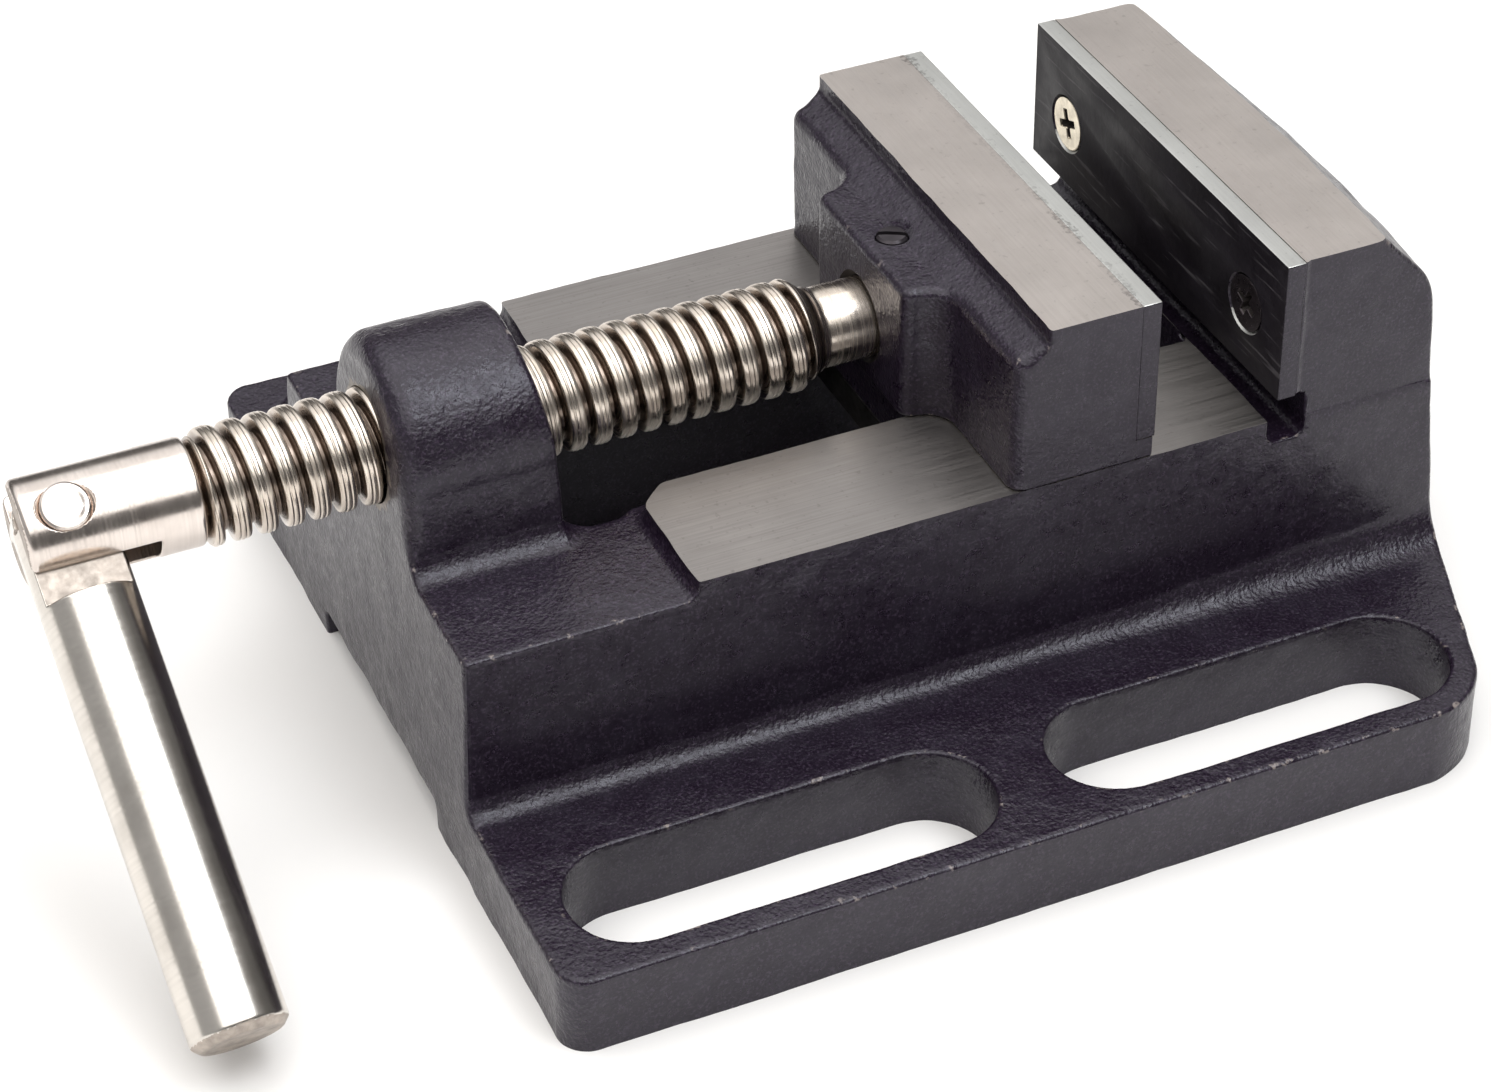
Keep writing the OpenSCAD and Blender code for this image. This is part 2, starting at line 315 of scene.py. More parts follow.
def smooth_by_field(piece, field, flat, reach=0.15):
    """Shades faces with the field's own normals, and the flat ones with their face's normal.
    It also stores how sharply the surface bends outwards, in the edge attribute."""
    mesh = piece.data
    points = points_of(mesh).astype(float) / MM
    slope = slopes(field, points, reach)
    slope /= np.maximum(np.linalg.norm(slope, axis=1, keepdims=True), 1e-6)
    bend, wide = -6 * field(*points.T), 0.6
    for axis in range(3):
        step = np.eye(3)[axis] * wide
        bend = bend + field(*(points + step).T) + field(*(points - step).T)
    edge = mesh.attributes.new("edge", "FLOAT", "POINT")
    edge.data.foreach_set("value", np.clip(bend / wide ** 2, -2, 2).astype(np.float32))
    corner = np.empty(len(mesh.loops), np.int32)
    mesh.loops.foreach_get("vertex_index", corner)
    sizes = np.empty(len(mesh.polygons), np.int32)
    mesh.polygons.foreach_get("loop_total", sizes)
    own = np.repeat(np.arange(len(sizes)), sizes)
    _, normals = faces_of(mesh)
    shading = np.where(flat[own][:, None], normals[own], slope[corner])
    mesh.shade_smooth()
    mesh.normals_split_custom_set(shading)


def soften(piece, width):
    """Rounds the piece's sharp edges and shades its faces by area."""
    bevel = piece.modifiers.new("bevel", "BEVEL")
    bevel.width, bevel.segments = width * MM, 2
    bevel.limit_method, bevel.angle_limit = "ANGLE", math.radians(30)
    bevel.harden_normals = False
    freeze(piece)
    piece.data.shade_smooth()
    weigh = piece.modifiers.new("weigh", "WEIGHTED_NORMAL")
    weigh.keep_sharp = True
    freeze(piece)


def smooth_by_angle(piece, angle):
    piece.data.shade_smooth()
    piece.data.set_sharp_from_angle(angle=math.radians(angle))


# ------------ base casting
RAIL_FRONT = FRONT + 37.3
LEDGE_Z = 41.4
FLANGE_T = 13.5
BOSS_R, BOSS_END, BOSS_FLARE = 16.8, FRONT + 25.8, 1.7
RAIL_UNDER, WALL = 33.6, 9.0
REAR_FOOT, REAR_SHOULDER, REAR_TOP = FRONT + 166.8, FRONT + 161.4, FRONT + 151.0
SHOULDER_Z = JAW_TOP - 11
GROOVE_LOW = BED_TOP - 4
BORE_R = 8.9
FOOT_R, FRONT_R, FRONT_LEAN = 9.0, 5.0, 1.2         # plan of the foot, and how far its front leans back
TAPER_AT, TAPER_X, TAPER_Y = FRONT + 163, 0.9336, 0.3583        # rear corners of the foot, cut by 21 degrees
CORNER_X, CORNER_Y = 0.682, 0.732                   # inner front corners of the rails, cut by 47 degrees
BOW_R, TOP_BOW_R = 370, 750                         # rear wall and its top edge, seen from above
RELIEF_HALF, RELIEF_H = 25, 4.5                     # gap between the feet


def base_outline(x, side, z):
    """Plan of the foot: round front corners and tapered rear corners."""
    taper = TAPER_X * (x - TAPER_AT) + TAPER_Y * (side - HALF_JAW - 3)
    lean = FRONT_LEAN * np.clip((z - FLANGE_T) / (LEDGE_Z - FLANGE_T), 0, 2.1)
    return meet(meet(side - HALF_BASE, taper, FOOT_R), FRONT + lean - x, FRONT_R)


def rear_wall(x, y, z):
    """Bowed rear wall with its draft, under a sloping shoulder that meets a straighter top edge."""
    bow = y * y / (2 * BOW_R)
    wall = x + bow - REAR_FOOT + (REAR_FOOT - REAR_SHOULDER) / SHOULDER_Z * z
    run = REAR_SHOULDER - bow - REAR_TOP + y * y / (2 * TOP_BOW_R)
    rise = JAW_TOP - SHOULDER_Z
    slope = ((x + bow - REAR_SHOULDER) * rise + (z - SHOULDER_Z) * run) / np.hypot(rise, run)
    return meet(wall, slope - 0.5 * ease((JAW_TOP - z) / rise), 2.0)


def boss_rear(z):
    """Rear face of the boss, which slopes above the spindle."""
    return BOSS_END - 0.12 * np.clip(z - AXIS_Z - 2, 0, BOSS_R)


def spindle_boss(x, side, z):
    """Round boss on flared sides."""
    down = np.clip((AXIS_Z - z) / (AXIS_Z - LEDGE_Z), 0, 2)
    flare = np.maximum(side - BOSS_R - BOSS_FLARE * down, z - AXIS_Z)
    return meet(np.minimum(np.hypot(side, z - AXIS_Z) - BOSS_R, flare), x - boss_rear(z), 1.2)


def base_field(x, y, z):
    """The base casting: ledge, rails, fixed jaw, boss and flanges, less its slots, hollow and channel."""
    side = np.abs(y)
    corner = -CORNER_X * (x - RAIL_FRONT) - CORNER_Y * (side - HALF_GAP - 4.2)
    rails = meet(meet(z - BED_TOP - SPARE, RAIL_FRONT - x, 1.0), corner, 1.0)
    jaw = meet(z - JAW_TOP - SPARE, FIXED_SEAT - SPARE - x, 0.8)
    top = join(join(z - LEDGE_Z, rails, 2.2), jaw, 0.6)
    inset = 0.35 * ease((z - 42.9) / 0.7) * ease((x - FIXED_SEAT) / 1.0)
    shape = meet(top, side - HALF_JAW + inset, 0.7)
    shape = join(shape, spindle_boss(x, side, z), 3.2)
    shape = join(shape, z - FLANGE_T, 3.4 + 3.0 * ease((x - 10) / 60))
    slot = np.hypot(np.maximum(np.abs(np.abs(x) - SLOT_X) - SLOT_RUN, 0), side - SLOT_Y) - SLOT_R
    shape = cut(shape, slot, 0.7)
    front_r = 0.9 + 2.6 * ease((z - LEDGE_Z - 1) / 6)
    shape = meet(shape, base_outline(x, side, z), front_r)
    shape = meet(shape, rear_wall(x, y, z), 1.2)
    hollow_x, hollow_l = (FRONT + WALL + REAR_SHOULDER - WALL) / 2, (REAR_SHOULDER - FRONT - 2 * WALL) / 2
    hollow = meet(rectangle(x - hollow_x, y, hollow_l, HALF_JAW - WALL, 3.0), z - RAIL_UNDER, 2.5)
    shape = cut(shape, hollow, 0.9)
    channel_end = FIXED_FACE - 1.6
    channel = rectangle(x - (BOSS_END + channel_end) / 2, y, (channel_end - BOSS_END) / 2, HALF_GAP)
    channel = np.maximum(channel, boss_rear(z) - x)
    channel = np.maximum(channel, RAIL_UNDER - 4 - z)
    ledge = ease((RAIL_FRONT - x) / 3) * ease((x - BOSS_END - 1) / 4) * ease((LEDGE_Z + 5 - z) / 3)
    shape = cut(shape, channel, 0.6 + 2.4 * ledge)
    groove_x, groove_half = FIXED_SEAT - 1.1, 3.1
    groove_mid, groove_h = (GROOVE_LOW + PLATE_Z) / 2, (PLATE_Z - GROOVE_LOW) / 2
    shape = cut(shape, rectangle(x - groove_x, z - groove_mid, groove_half, groove_h, 1.8), 0.4)
    shape = cut(shape, meet(side - RELIEF_HALF, z - RELIEF_H, 1.0), 0.8)
    return np.maximum(shape, -SPARE - z)


def rough_base(x, y, z):
    """The casting's wavy skin, which stays just inside the foot's true outline."""
    skin = base_field(x, y, z) + 0.16 + 0.085 * ripple(x, y, z, 14, 3) + 0.035 * ripple(x, y, z, 4.5, 4)
    return np.maximum(skin, np.maximum(np.abs(y) - HALF_BASE, FRONT - x))


def bore_cutter(start, end, r, chamfer):
    """Round cutter along the spindle with a chamfered mouth at each end."""
    length = end - start
    return turned("cutter", [(r + 2 * chamfer, -chamfer), (r, chamfer), (r, length - chamfer),
                             (r + 2 * chamfer, length + chamfer)], place=along_x(start))


def hole_cutter(place, r, depth):
    return turned("cutter", [(r, -3), (r, depth)], 32, place)


def build_base(enamel, ground, bare, bed):
    high = (BASE_HIGH[0], BASE_HIGH[1], JAW_TOP)
    base = shaped("base_body", base_field, BASE_LOW, high, step=0.65, faces=170000, rough=rough_base)
    far = 130               # past the ends of the casting
    combine(base, block((-far, -far, -9), (far, far, 0)))
    combine(base, block((FIXED_SEAT - 5, -far, JAW_TOP), (far, far, far)))
    combine(base, block((RAIL_FRONT - 4, -far, BED_TOP), (FIXED_SEAT, far, far)))
    combine(base, bore_cutter(FRONT + 1, BOSS_END, BORE_R, 0.5))
    for side in (-1, 1):
        combine(base, hole_cutter(along_x(FIXED_SEAT, side * SCREW_Y, SCREW_Z), TAP_R, TAP_DEPTH))
    mesh = base.data
    rails = on_plane(mesh, 2, BED_TOP, 1)
    flat = rails | on_plane(mesh, 2, JAW_TOP, 1) | on_plane(mesh, 2, 0, -1)
    flat |= on_plane(mesh, 0, FIXED_SEAT, -1)
    centres, _ = faces_of(mesh)
    bore = (np.hypot(centres[:, 1], centres[:, 2] - AXIS_Z) < BORE_R + 0.7) & (centres[:, 0] < BOSS_END + 1)
    paint(base, [enamel, ground, bare, bed], np.where(bore, 2, np.where(rails, 3, np.where(flat, 1, 0))))
    smooth_by_field(base, rough_base, flat | bore)
    return base


# ------------ moving jaw
STEP_X = MOVING_FACE - 18.3                       # rear edge of the ground top
BACK_X = MOVING_FACE - 23.6                       # back wall
HUB_X = JAW_LOW[0]
HUB_HALF, HUB_TOP, SHELF_Z, SHELF_SLOPE = 16.0, JAW_TOP - 5.0, JAW_TOP - 2.6, 0.43
JAW_UNDER = BED_TOP + 0.1
GUIDE_LOW, GUIDE_FRONT = JAW_LOW[2], MOVING_FACE - 27
SHANK_R = 6.35
NECK_X = sum(in_mm("spindle_set_screw")[i][0] for i in (0, 1)) / 2
KEEPER_BOLT_X, KEEPER_BOLT_Y = (KEEPER_LOW[0] + KEEPER_HIGH[0]) / 2, 8.5
JAW_BOLT_R, KEEPER_BOLT_R = 3.1, 3.25               # holes of the keeper's bolts


def jaw_field(x, y, z):
    """The moving jaw: a ground top, a sloping shelf, the hub round the spindle and the guide block below."""
    side = np.abs(y)
    hub = meet(side - HUB_HALF, HUB_X - x, 2.0)
    plan = join(hub, BACK_X - x, 5.0)
    fall = (z - SHELF_Z - SHELF_SLOPE * (x - STEP_X)) / math.hypot(1, SHELF_SLOPE)
    shelf = np.maximum(z - SHELF_Z, fall)
    low = meet(np.minimum(z - HUB_TOP, shelf), plan, 1.6)
    high = meet(z - JAW_TOP - SPARE, STEP_X - x, 0.5)
    shape = join(low, high, 0.7)
    shape = meet(shape, side - HALF_JAW, 0.4 + 2.2 * ease((STEP_X + 1 - x) / 4))
    shape = meet(shape, x - JAW_HIGH[0], 0.3)
    shape = meet(shape, JAW_UNDER - z, 0.3)
    middle_x, middle_z = (GUIDE_FRONT + MOVING_SEAT) / 2, (GUIDE_LOW + JAW_UNDER + 2) / 2
    guide = rectangle(x - middle_x, z - middle_z, (MOVING_SEAT - GUIDE_FRONT) / 2,
                      (JAW_UNDER + 2 - GUIDE_LOW) / 2, 0.5)
    return np.minimum(shape, meet(guide, side - HALF_GAP + 0.06, 0.5))


def rough_jaw(x, y, z):
    """The casting's wavy skin, calmer on the sides and where it meets the plate."""
    high = ease((z - JAW_UNDER) / 1.5)
    lumps = 0.075 * ripple(x, y, z, 11, 7) + 0.03 * ripple(x, y, z, 4, 8)
    calm = 1 - 0.8 * ease((np.abs(y) - HALF_JAW + 2) / 1.0) * ease((x - BACK_X - 1) / 3)
    seated = 1 - 0.85 * ease((x - MOVING_SEAT) / 1.5)
    return np.maximum(jaw_field(x, y, z) + high * calm * seated * (lumps + 0.13), np.abs(y) - HALF_JAW)


def build_jaw(enamel, ground, bare, dirt_and_shade):
    jaw = shaped("moving_jaw_body", jaw_field, JAW_LOW, JAW_HIGH, step=0.45, faces=90000, rough=rough_jaw)
    far = 60                # past the sides of the jaw
    combine(jaw, block((STEP_X - 6, -far, JAW_TOP), (far, far, 90)))
    combine(jaw, block((MOVING_SEAT, -far, PLATE_Z - 0.05), (far, far, 90)))
    combine(jaw, turned("cutter", [(SHANK_R + 1.1, -1.0), (SHANK_R + 1.1, 0.1), (SHANK_R + 0.1, 1.0),
                                   (SHANK_R + 0.1, SPINDLE_HIGH[0] + 0.2 - HUB_X)], place=along_x(HUB_X)))
    combine(jaw, turned("cutter", [(2.65, 0), (2.65, HUB_TOP - AXIS_Z - 0.9), (3.3, HUB_TOP - AXIS_Z + 0.1),
                                   (3.3, 30)], 40, Matrix.Translation((NECK_X, 0, AXIS_Z))))
    for side in (-1, 1):
        seat = facing((MOVING_SEAT, side * SCREW_Y, SCREW_Z), -1)
        combine(jaw, hole_cutter(seat, TAP_R, TAP_DEPTH))
        combine(jaw, turned("cutter", [(JAW_BOLT_R, 0), (JAW_BOLT_R, BED_TOP - 1.5)], 32,
                            Matrix.Translation((KEEPER_BOLT_X, side * KEEPER_BOLT_Y, 0))))
    mesh = jaw.data
    flat = (on_plane(mesh, 2, JAW_TOP, 1) | on_plane(mesh, 0, MOVING_SEAT, 1)
            | on_plane(mesh, 2, PLATE_Z - 0.05, 1))
    centres, normals = faces_of(mesh)
    away = np.hypot(centres[:, 1], centres[:, 2] - AXIS_Z)
    # The bore round the shank gets the dark recess colour: dirt, and painted shade.
    bore = (away < SHANK_R + 1.0) & (centres[:, 0] < SPINDLE_HIGH[0] + 1)
    guide = (centres[:, 2] < JAW_UNDER + 0.3) & (normals[:, 2] < -0.5)
    screw_hole = (np.hypot(centres[:, 0] - NECK_X, centres[:, 1]) < 2.7) & (np.abs(normals[:, 2]) < 0.3)
    paint(jaw, [enamel, ground, bare, dirt_and_shade], np.where(bore, 3, np.where(guide, 2, np.where(flat, 1, 0))))
    smooth_by_field(jaw, rough_jaw, flat | bore | screw_hole)
    return jaw


# ------------ jaw plates and their screws
def build_plate(name, low, high, face_x, back_x, materials):
    """Hardened plate with chamfered edges and two countersunk holes, its ends painted with the casting."""
    face, top, enamel = materials
    plate = block(low, high, name)
    soften(plate, 0.22)
    way = 1 if back_x > face_x else -1
    thickness = abs(back_x - face_x)
    for side in (-1, 1):
        place = facing((face_x, side * SCREW_Y, SCREW_Z), way)
        sunk = [(SCREW_HEAD_R + 0.45, -0.5), (SCREW_HEAD_R - 0.05, 0.05), (2.8, thickness - 0.6),
                (2.8, thickness + 1)]
        combine(plate, turned("cutter", sunk, 64, place))
    _, normals = faces_of(plate.data)
    side = np.abs(normals[:, 1]) > 0.5
    paint(plate, [face, top, enamel], np.where(normals[:, 2] > 0.5, 1, np.where(side, 2, 0)))
    return plate


SCREW_SHANK_R, SCREW_LENGTH, RECESS_DEPTH = 2.45, 13.8, 2.3


def screw_field(x, y, z):
    """Countersunk head with a cross recess, its face at z = 0, and a plain shank along +Z."""
    out = np.hypot(x, y)
    cone = (out - SCREW_HEAD_R + 0.25 + 0.95 * z) * 0.725
    head = meet(meet(cone, out - SCREW_HEAD_R + 0.3, 0.15), 0.12 - z, 0.2)
    shank = meet(out - SCREW_SHANK_R, z - SCREW_LENGTH, 0.5)
    body = join(head, np.maximum(shank, 0.5 - z), 0.3)
    wing, length = 0.62 - 0.12 * z, 2.6 - 0.6 * z
    arm_a = np.maximum(np.abs(x) - length, np.abs(y) - wing)
    arm_b = np.maximum(np.abs(y) - length, np.abs(x) - wing)
    recess = np.maximum(join(arm_a, arm_b, 0.35), z - RECESS_DEPTH)
    return cut(body, recess, 0.12)


def build_screw(jaw, end, mesh, turn, head, recess):
    """One plate screw, with its cross recess turned by some degrees."""
    screw = add_object(f"{jaw}_screw_{end}", mesh.copy())
    face_x, way = (FIXED_FACE, 1) if jaw == "fixed" else (MOVING_FACE, -1)
    side = -1 if end == "near" else 1
    place = facing(Vector((face_x, side * SCREW_Y, SCREW_Z)) * MM, way)
    place = place @ Matrix.Rotation(math.radians(turn), 4, "Z")
    centres, _ = faces_of(screw.data)
    # Faces inside the cross recess get the dark recess colour: dirt, and painted shade.
    sunk = (centres[:, 2] > 0.35) & (np.hypot(centres[:, 0], centres[:, 1]) < 2.9) & (centres[:, 2] < 2.5)
    screw.data.transform(place)
    paint(screw, [head, recess], sunk)
    finish_piece(screw, f"{jaw}_plate_screw_{end}")


def screw_mesh():
    """The mesh that the four plate screws share."""
    made = shaped("cross_screw", screw_field, (-5, -5, 0), (5, 5, 14), step=0.16, faces=14000)
    mesh = made.data
    smooth_by_field(made, screw_field, np.zeros(len(mesh.polygons), bool), 0.05)
    bpy.data.objects.remove(made)
    return mesh


# ------------ spindle, pin and handle
HEAD_END, HEAD_R = SPINDLE_LOW[0], 8.2
THREAD_START, THREAD_END, PITCH = FRONT - 24.8, FRONT + 73, 4.0
CREST_R, ROOT_R = 8.8, 6.75
NOSE_END = SPINDLE_HIGH[0]
SLOT_HALF, SLOT_DEPTH = 3.5, 18.9
PIN_R = 2.9
THREAD_PHASE = 0.7       # share of a pitch from the start of the thread to a crest on the near side
COLUMNS, ROWS_PER_TURN = 64, 34
NECK_R = 4.6
PLAIN_ROD = [(THREAD_END, ROOT_R), (THREAD_END + 0.5, SHANK_R + 0.12), (THREAD_END + 0.8, SHANK_R),
             (NECK_X - 2.2, SHANK_R), (NECK_X - 2.0, SHANK_R - 0.3), (NECK_X - 1.9, NECK_R),
             (NECK_X + 1.9, NECK_R), (NECK_X + 2.0, SHANK_R - 0.3), (NECK_X + 2.2, SHANK_R),
             (NOSE_END - 1, SHANK_R), (NOSE_END, SHANK_R - 1)]


def thread_height(phase):
    """Height of the rolled thread above its root, about 0 to 1, with the seam that rolling leaves."""
    away = np.abs(((phase + 0.5) % 1.0) - 0.5) * PITCH
    flank = ease((1.78 - away) / 0.62)
    crown = 1 - 0.16 * np.clip(away / 1.3, 0, 1) ** 3
    seam = 0.06 * (1 - ease(np.abs(away - 0.40) / 0.25))
    return (0.7 * ease(flank) + 0.3 * flank) * crown - seam


def rod_radius(x, turn):
    """Radius of the rod at x, and at a share of a turn about its axis."""
    height = thread_height((x - THREAD_START) / PITCH - turn - THREAD_PHASE)
    fade = ease((x - THREAD_START) / 1.2) * ease((THREAD_END - x) / 3.4)
    plain = np.interp(x, *np.transpose(PLAIN_ROD))
    return np.where(x < THREAD_END, ROOT_R + (CREST_R - ROOT_R) * height * fade, plain)


def spindle_field(x, y, z):
    """Whole spindle in the model's axes, which its shading follows."""
    rod = np.hypot(y, z - AXIS_Z) - rod_radius(x, np.arctan2(z - AXIS_Z, y) / (2 * math.pi))
    axis = np.array(PIN_AXIS)
    way = np.array(BAR_WAY)
    along, across = y * way[1] + (z - AXIS_Z) * way[2], y * axis[1] + (z - AXIS_Z) * axis[2]
    return np.minimum(np.maximum(rod, THREAD_START - 6 - x), head_field(x - PIN_AT.x, along, across))


def build_spindle(nickel, steel, faced):
    """Threaded rod with a plain shank, joined to the slotted head."""
    threaded = np.arange(THREAD_START, THREAD_END, PITCH / ROWS_PER_TURN)
    plain = np.union1d(np.arange(THREAD_END, NOSE_END, 0.4), [x for x, _ in PLAIN_ROD])
    stations = np.concatenate([[THREAD_START - 6], threaded, plain])
    turn = np.arange(COLUMNS) / COLUMNS
    x = np.repeat(stations[:, None], COLUMNS, axis=1)
    r = rod_radius(np.maximum(x, THREAD_START), turn[None, :])
    angle = 2 * math.pi * turn[None, :]
    points = np.stack([x, r * np.cos(angle), r * np.sin(angle) + AXIS_Z], axis=-1).reshape(-1, 3)
    rod = new_object("spindle_body", points, tube_faces(len(stations), COLUMNS))
    combine(rod, build_head(), "UNION")
    mesh = rod.data
    centres, _ = faces_of(mesh)
    end = dull(rod, (1, 0, 0), [HEAD_END])
    paint(rod, [nickel, steel, faced], np.where(end, 2, np.where(centres[:, 0] < THREAD_START + 0.02, 1, 0)))
    store_height(rod)
    smooth_by_field(rod, spindle_field, centres[:, 0] > NOSE_END - 0.1, 0.05)
    return rod


def dull(piece, normal_axis, places, width=0.3):
    """Which faces look along the axis at one of the places: sawn or faced ends."""
    centres, normals = faces_of(piece.data)
    axis = np.array(normal_axis)
    along = centres @ axis
    near = np.min([np.abs(along - place) for place in places], axis=0) < width
    return near & (np.abs(normals @ axis) > 0.9)


def store_height(piece):
    """Height above the thread's root, from 0 to 1, kept as an attribute for the metal's colour: oil and
    painted shade in the roots.
    """
    points = points_of(piece.data) / MM
    out = np.hypot(points[:, 1], points[:, 2] - AXIS_Z)
    height = np.clip((out - ROOT_R) / (CREST_R - ROOT_R), 0, 1)
    threaded = (points[:, 0] > THREAD_START) & (points[:, 0] < THREAD_END)
    kept = piece.data.attributes.new("height", "FLOAT", "POINT")
    kept.data.foreach_set("value", np.where(threaded, height, 1.0))


def head_field(x, y, z):
    """Head of the spindle in the pin's frame, with the clevis slot and the pin's countersunk hole."""
    start, end = HEAD_END - PIN_AT.x, THREAD_START - PIN_AT.x
    out = np.hypot(y, z)
    head = meet(meet(out - HEAD_R, start - x, 1.1), x - end, 0.8)
    slot = rectangle(x - start + 5, z, SLOT_DEPTH + 5, SLOT_HALF, 0.3)
    head = cut(head, slot, 0.35)
    hole = np.hypot(x, y) - PIN_R - 0.06 - 1.15 * np.clip(np.abs(z) - HEAD_R + 1.3, 0, 2)
    return np.maximum(head, -hole)


def build_head():
    start, end = HEAD_END - PIN_AT.x, THREAD_START - PIN_AT.x
    low, high = (start, -HEAD_R, -HEAD_R), (end, HEAD_R, HEAD_R)
    head = shaped("head", head_field, low, high, step=0.27, faces=50000)
    head.data.transform(scaled(at_pin()))
    return head


def scaled(place):
    """The same placement with its shift in metres."""
    made = place.copy()
    made.translation = place.translation * MM
    return made


def build_pin(material):
    reach = HEAD_R
    half = [(PIN_R + 0.55, reach - 0.85), (PIN_R + 0.75, reach - 0.45), (PIN_R + 0.7, reach - 0.1),
            (PIN_R + 0.4, reach + 0.15), (PIN_R - 0.1, reach + 0.2), (PIN_R - 0.35, reach + 0.32),
            (1.6, reach + 0.42), (0.4, reach + 0.45)]
    inner = [(PIN_R, reach - 1.35)] + half
    profile = [(r, -h) for r, h in reversed(inner)] + inner
    pin = turned("handle_pivot_pin", profile, 64, at_pin())
    paint(pin, [material])
    smooth_by_angle(pin, 25)
    return pin


BAR_R, BAR_REACH, BAR_CHAMFER, TONGUE_HALF, TONGUE_LENGTH = 7.2, 78.4, 1.2, 3.3, 12.0
DIAGONAL = 0.7071        # turns a chamfer's slant into a distance
BAR_LEAN = math.radians(1.7)


def bar_field(x, y, z):
    """Handle bar in the pin's frame: a flattened tongue, a shoulder, a round bar and a chamfered end."""
    out = np.hypot(x, z)
    bar = meet(out - BAR_R, TONGUE_LENGTH - y, 0.35)
    end = DIAGONAL * (out - BAR_R + y - BAR_REACH + BAR_CHAMFER)
    bar = meet(meet(bar, end, 0.25), y - BAR_REACH, 0.2)
    eye = np.where(y < 0, np.hypot(x, y), np.abs(x)) - BAR_R + 0.05
    flat = meet(np.abs(z) - TONGUE_HALF, eye, 0.3)
    flat = np.maximum(flat, y - TONGUE_LENGTH - 2)
    round_side = np.where(y < 0, flat, np.maximum(flat, out - BAR_R))
    bar = np.minimum(bar, round_side)
    return np.maximum(bar, PIN_R + 0.06 - np.hypot(x, y))


def build_bar(material, faced):
    low, high = (-BAR_R, -BAR_R, -BAR_R), (BAR_R, BAR_REACH, BAR_R)
    bar = shaped("handle_grip_bar", bar_field, low, high, step=0.33, faces=60000)
    smooth_by_field(bar, bar_field, np.zeros(len(bar.data.polygons), bool), 0.06)
    _, normals = faces_of(bar.data)
    end = dull(bar, (0, 1, 0), [BAR_REACH]) | dull(bar, (0, 0, 1), [TONGUE_HALF, -TONGUE_HALF])
    bevel = normals[:, 1] > 0.5
    paint(bar, [material, faced], end | bevel)
    bar.data.transform(scaled(at_pin(BAR_LEAN)))
    return bar


# ------------ small hidden hardware
def build_set_screw(material):
    top, tip = in_mm("spindle_set_screw")[1][2] - 0.5, in_mm("spindle_set_screw")[0][2]
    place = Matrix.Translation((NECK_X, 0, 0))
    profile = [(1.2, tip), (1.5, tip + 0.3), (1.5, AXIS_Z + 7), (2.45, AXIS_Z + 7.6), (2.45, top - 0.45),
               (2.1, top - 0.1), (1.0, top)]
    screw = turned("slotted_set_screw", profile, 48, place)
    slot_half, slot_depth, slot_turn = 0.45, 1.3, math.radians(62)
    slot = block((-slot_half, -4, top - slot_depth), (slot_half, 4, top + 1))
    slot.data.transform(scaled(place) @ Matrix.Rotation(slot_turn, 4, "Z"))
    combine(screw, slot)
    paint(screw, [material])
    smooth_by_angle(screw, 30)
    return screw


def build_keeper(material):
    keeper = block(KEEPER_LOW, KEEPER_HIGH, "keeper_slide_plate")
    soften(keeper, 0.5)
    for side in (-1, 1):
        hole = [(KEEPER_BOLT_R, -1), (KEEPER_BOLT_R, KEEPER_HIGH[2] + 1)]
        place = Matrix.Translation((KEEPER_BOLT_X, side * KEEPER_BOLT_Y, 0))
        combine(keeper, turned("cutter", hole, 48, place))
    # The keeper's colour is darkened as painted shade.
    paint(keeper, [material])
    smooth_by_angle(keeper, 25)
    return keeper


def build_bolt(name, node, material):
    """Hexagon bolt with a chamfered head and a rounded thread of 1 mm pitch on its shank."""
    low, high = in_mm(node)
    centre = ((low[0] + high[0]) / 2, (low[1] + high[1]) / 2, low[2])
    head_h, shank_h = 4.0, high[2] - low[2]
    half_flats, shank_r = 5, 2.95

    def field(x, y, z):
        flats = np.maximum(np.abs(0.866 * x + 0.5 * y), np.abs(0.866 * x - 0.5 * y))
        flats = np.maximum(np.abs(y), flats) - half_flats
        out = np.hypot(x, y)
        chamfer = 0.5 * out - 0.866 * z - 2.62
        head = meet(meet(flats, chamfer, 0.1), meet(z - head_h, -z, 0.1), 0.15)
        turn = np.arctan2(y, x) / (2 * math.pi)
        ridge = 0.32 * np.abs(((z - turn) % 1.0) - 0.5) * 2 * ease((z - head_h - 3) / 1.5)
        shank = meet(out - shank_r + ridge, z - shank_h, 0.4)
        return np.minimum(head, np.maximum(shank, 0.5 - z))

    bolt = shaped(name, field, (-6, -6, 0), (6, 6, shank_h), step=0.2, faces=24000)
    bolt.data.transform(Matrix.Translation(Vector(centre) * MM))
    paint(bolt, [material])
    smooth_by_angle(bolt, 40)
    return bolt


def build_washer(name, node, material):
    """Split spring washer: a square wire bent almost to a ring, its ends slightly apart in height."""
    low, high = in_mm(node)
    centre = ((low[0] + high[0]) / 2, (low[1] + high[1]) / 2)
    steps, gap, gap_at, rise = 72, math.radians(9), math.radians(40), 0.25
    thickness = high[2] - low[2] - rise
    inner, outer = 3.2, 5.4
    section = [(inner + 0.15, 0), (outer - 0.2, 0), (outer, 0.2), (outer, thickness - 0.2),
               (outer - 0.2, thickness), (inner + 0.15, thickness), (inner, thickness - 0.15), (inner, 0.15)]
    points = []
    for t in [i / steps for i in range(steps + 1)]:
        a = gap_at + gap / 2 + t * (2 * math.pi - gap)
        for r, h in section[::-1]:
            points.append((centre[0] + r * math.cos(a), centre[1] + r * math.sin(a), low[2] + h + rise * t))
    washer = new_object(name, points, tube_faces(steps + 1, len(section)))
    paint(washer, [material])
    smooth_by_angle(washer, 30)
    return washer


# ------------ materials
def add_node(tree, kind, **settings):
    made = tree.nodes.new("ShaderNode" + kind)
    for key, value in settings.items():
        setattr(made, key, value)
    return made


